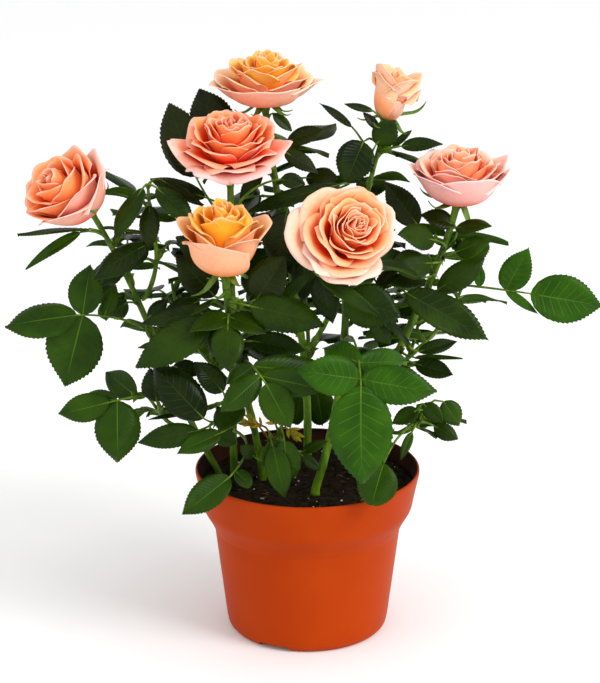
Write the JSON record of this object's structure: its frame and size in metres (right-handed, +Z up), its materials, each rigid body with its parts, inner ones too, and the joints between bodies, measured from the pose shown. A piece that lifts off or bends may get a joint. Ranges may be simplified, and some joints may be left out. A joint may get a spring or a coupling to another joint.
{
  "type": "potted rose bush",
  "caption": "Small rose bush in flower, growing in a round plastic nursery pot that stands on its flat underside.",
  "frame": {"origin": "middle of the pot's flat underside", "axes": "+Z up along the pot's axis, -Y towards the front of the bush, +X to its right seen from the front"},
  "size_m": [0.3085, 0.2061, 0.3055],
  "materials": {
    "pot_plastic": "satin terracotta-coloured plastic",
    "soil": "dark loose potting soil",
    "bark": "smooth green bark",
    "leaf": "glossy leaf",
    "petal": "velvety petal"
  },
  "bodies": {
    "root": {"pot": "pot_plastic", "soil": "soil", "cane_left": "bark", "cane_upper_left": "bark", "cane_front_left": "bark", "cane_centre": "bark", "cane_right": "bark", "cane_top": "bark", "cane_bud": "bark", "flower_left": "petal", "flower_upper_left": "petal", "flower_front_left": "petal", "flower_centre": "petal", "flower_right": "petal", "flower_top": "petal", "flower_bud": "petal", "foliage_left": "leaf", "foliage_upper_left": "leaf", "foliage_front_left": "leaf", "foliage_centre": "leaf", "foliage_right": "leaf", "foliage_top": "leaf", "foliage_bud": "leaf", "foliage_left_side": "leaf", "foliage_low_left": "leaf", "foliage_low_front_left": "leaf", "foliage_low_front": "leaf", "foliage_low_right": "leaf", "foliage_right_side": "leaf", "foliage_back_left": "leaf", "foliage_back": "leaf", "foliage_back_right": "leaf"}
  },
  "joints": []
}
